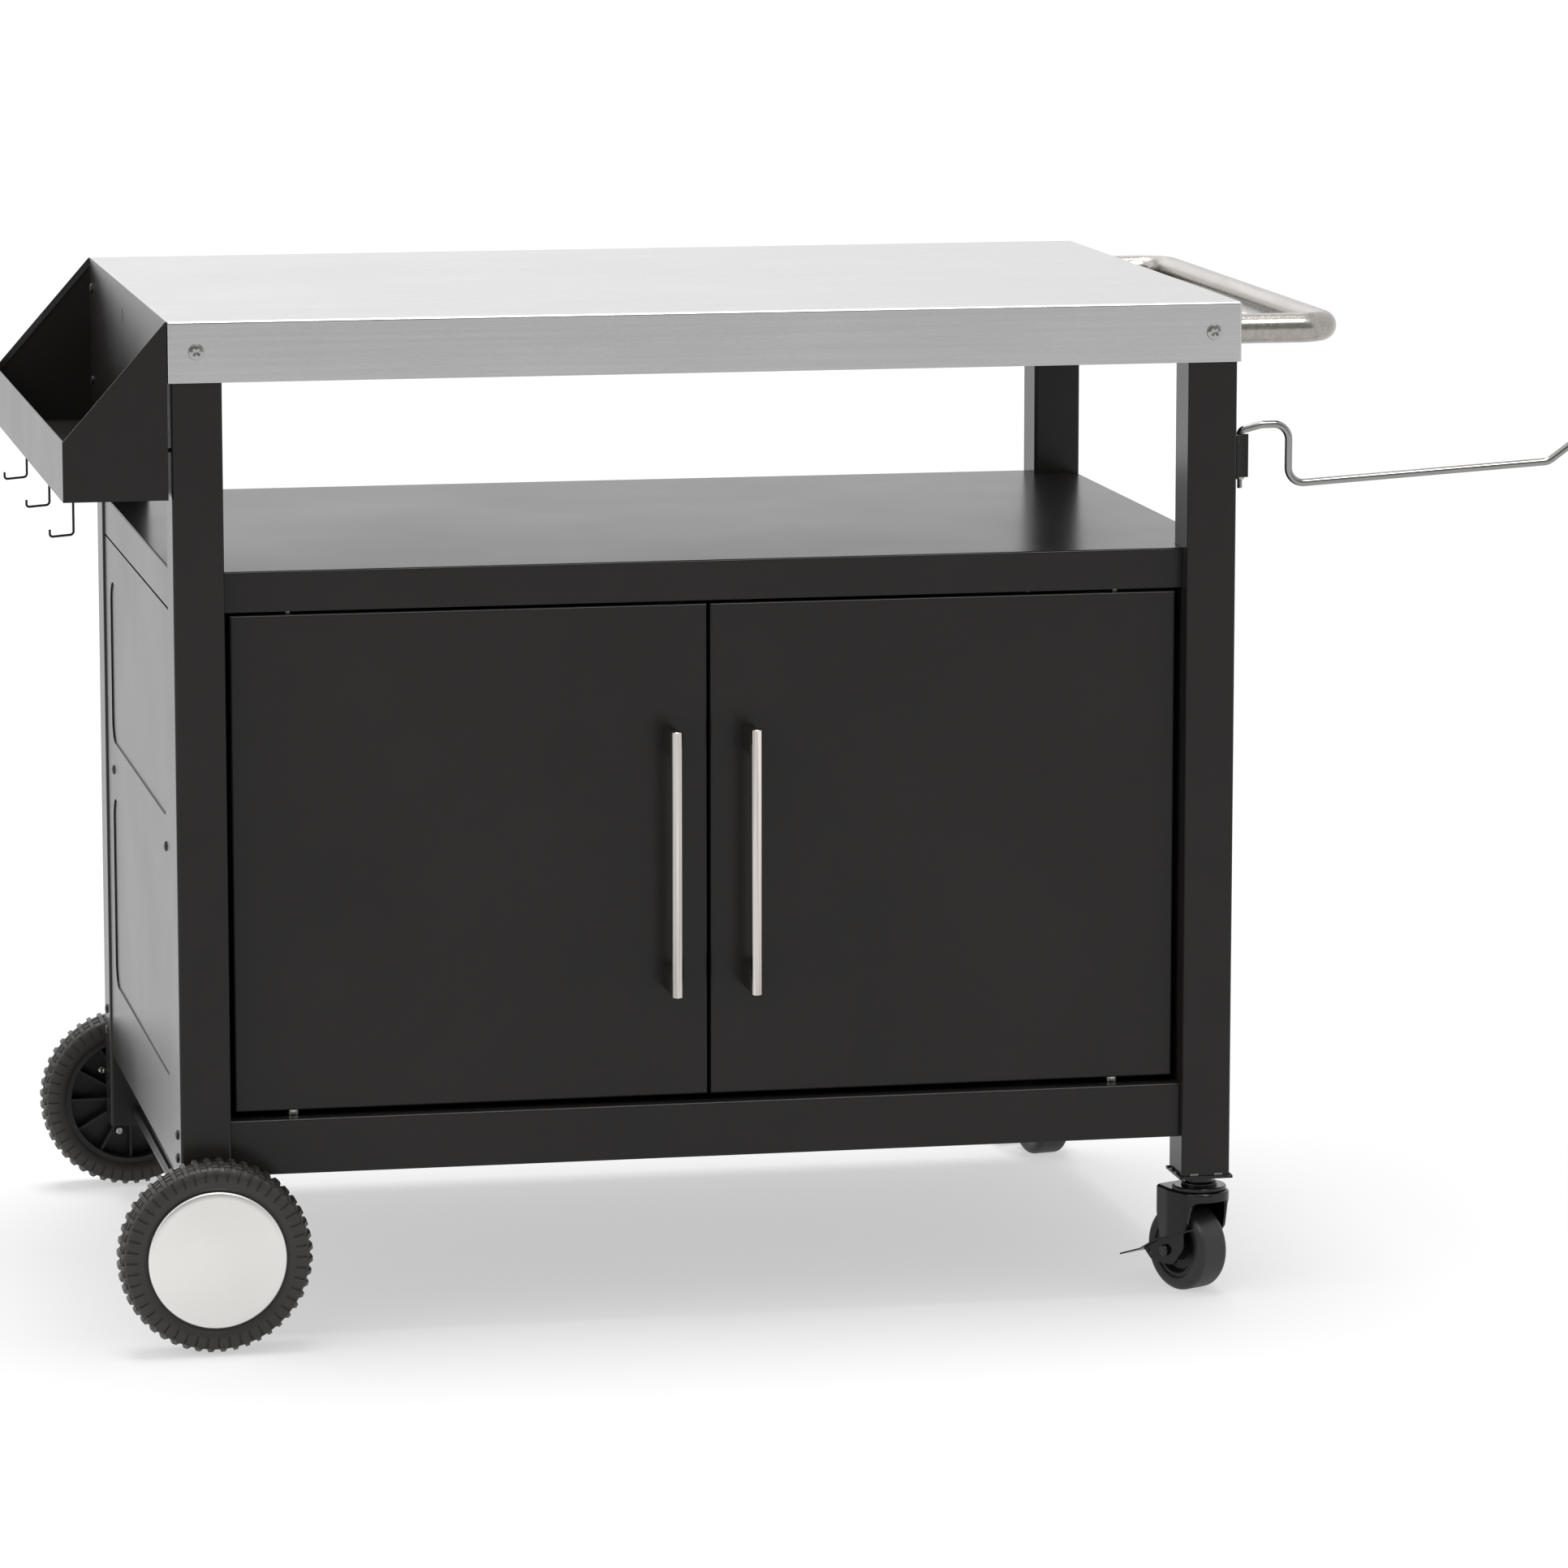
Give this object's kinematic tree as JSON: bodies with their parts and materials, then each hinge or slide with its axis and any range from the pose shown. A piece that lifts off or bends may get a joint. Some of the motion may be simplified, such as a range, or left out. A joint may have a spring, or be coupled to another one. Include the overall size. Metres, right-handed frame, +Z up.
{
  "type": "grill cart",
  "caption": "Outdoor cart for a grill: brushed worktop, open shelf, cabinet with hinged doors, side tray with hooks, push handle, swing-out rod, large wheels and braked swivel casters.",
  "frame": {"origin": "on the floor under the centre of the worktop", "axes": "+X towards the push handle, +Y towards the back panel, +Z up"},
  "size_m": [1.3921, 0.7567, 0.91],
  "materials": {
    "brushed_stainless": "long grain along the length of the worktop",
    "brushed_tube": "fine grain, satin",
    "black_powder_coat": "satin black powder coat",
    "chrome_wire": "bright plated",
    "hub_cap_metal": "pale, even and bare",
    "bright_screws": "zinc plated",
    "black_screws": "black oxide",
    "black_plastic": "fine moulded texture",
    "tyre_rubber": "dull black",
    "caster_rubber": "dull black"
  },
  "bodies": {
    "frame": {"worktop": "brushed_stainless", "worktop_screws": "bright_screws", "leg_front_left": "black_powder_coat", "leg_back_left": "black_powder_coat", "leg_front_right": "black_powder_coat", "leg_back_right": "black_powder_coat", "caster_plates": "black_powder_coat", "shelf": "black_powder_coat", "base_pan": "black_powder_coat", "side_panel_left": "black_powder_coat", "side_panel_right": "black_powder_coat", "panel_screws": "black_screws", "back_panel": "black_powder_coat", "leg_screws": "black_screws", "door_pins": "bright_screws", "door_bushes": "bright_screws", "magnet_catches": "black_plastic", "side_tray": "black_powder_coat", "tray_screws": "black_screws", "tray_hooks": "black_powder_coat", "push_handle": "brushed_tube", "handle_screws": "bright_screws", "rod_bracket": "black_powder_coat", "bracket_screws": "black_screws", "axle": "black_screws", "axle_nuts": "black_screws", "axle_washers": "black_screws", "caster_heads": "black_powder_coat"},
    "swing_rod": {"swing_rod": "chrome_wire", "rod_nut": "bright_screws"},
    "door_left": {"door_left": "black_powder_coat", "door_handle_left": "brushed_tube", "handle_posts_left": "black_powder_coat", "striker_left": "bright_screws"},
    "door_right": {"door_right": "black_powder_coat", "door_handle_right": "brushed_tube", "handle_posts_right": "black_powder_coat", "striker_right": "bright_screws"},
    "wheel_front": {"tyre_front": "tyre_rubber", "rim_front": "black_plastic", "hub_cap_front": "hub_cap_metal", "cap_screws_front": "bright_screws"},
    "caster_front": {"caster_fork_front": "black_powder_coat", "caster_bolt_front": "black_screws"},
    "caster_wheel_front": {"caster_tyre_front": "caster_rubber", "caster_core_front": "black_plastic"},
    "brake_front": {"brake_lever_front": "black_powder_coat"},
    "wheel_back": {"tyre_back": "tyre_rubber", "rim_back": "black_plastic", "hub_cap_back": "hub_cap_metal", "cap_screws_back": "bright_screws"},
    "caster_back": {"caster_fork_back": "black_powder_coat", "caster_bolt_back": "black_screws"},
    "caster_wheel_back": {"caster_tyre_back": "caster_rubber", "caster_core_back": "black_plastic"},
    "brake_back": {"brake_lever_back": "black_powder_coat"}
  },
  "joints": [
    {"name": "door_left_hinge", "type": "hinge", "parent": "frame", "child": "door_left", "pos_m": [-0.3748, -0.29, 0.42575], "axis": [0, 0, -1], "range_deg": [0, 110]},
    {"name": "door_right_hinge", "type": "hinge", "parent": "frame", "child": "door_right", "pos_m": [0.3748, -0.29, 0.42575], "axis": [0, 0, 1], "range_deg": [0, 110]},
    {"name": "rod_swing", "type": "hinge", "parent": "frame", "child": "swing_rod", "pos_m": [0.4878, -0.299, 0.77], "axis": [0, 0, 1], "range_deg": [-90, 90]},
    {"name": "wheel_front_spin", "type": "hinge", "parent": "frame", "child": "wheel_front", "pos_m": [-0.4536, -0.353, 0.0865], "axis": [0, 1, 0], "continuous": true},
    {"name": "caster_front_swivel", "type": "hinge", "parent": "frame", "child": "caster_front", "pos_m": [0.4563, -0.299, 0.1], "axis": [0, 0, 1], "continuous": true},
    {"name": "caster_front_roll", "type": "hinge", "parent": "caster_front", "child": "caster_wheel_front", "pos_m": [0.44938, -0.28513, 0.039], "axis": [0.8949, 0.4462, 0], "continuous": true},
    {"name": "brake_front_press", "type": "hinge", "parent": "caster_front", "child": "brake_front", "pos_m": [0.44938, -0.28513, 0.039], "axis": [-0.8949, -0.4462, 0], "range_deg": [0, 12]},
    {"name": "wheel_back_spin", "type": "hinge", "parent": "frame", "child": "wheel_back", "pos_m": [-0.4536, 0.353, 0.0865], "axis": [0, 1, 0], "continuous": true},
    {"name": "caster_back_swivel", "type": "hinge", "parent": "frame", "child": "caster_back", "pos_m": [0.4563, 0.299, 0.1], "axis": [0, 0, 1], "continuous": true},
    {"name": "caster_back_roll", "type": "hinge", "parent": "caster_back", "child": "caster_wheel_back", "pos_m": [0.45361, 0.31427, 0.039], "axis": [0.9848, 0.1736, 0], "continuous": true},
    {"name": "brake_back_press", "type": "hinge", "parent": "caster_back", "child": "brake_back", "pos_m": [0.45361, 0.31427, 0.039], "axis": [-0.9848, -0.1736, 0], "range_deg": [0, 12]}
  ]
}
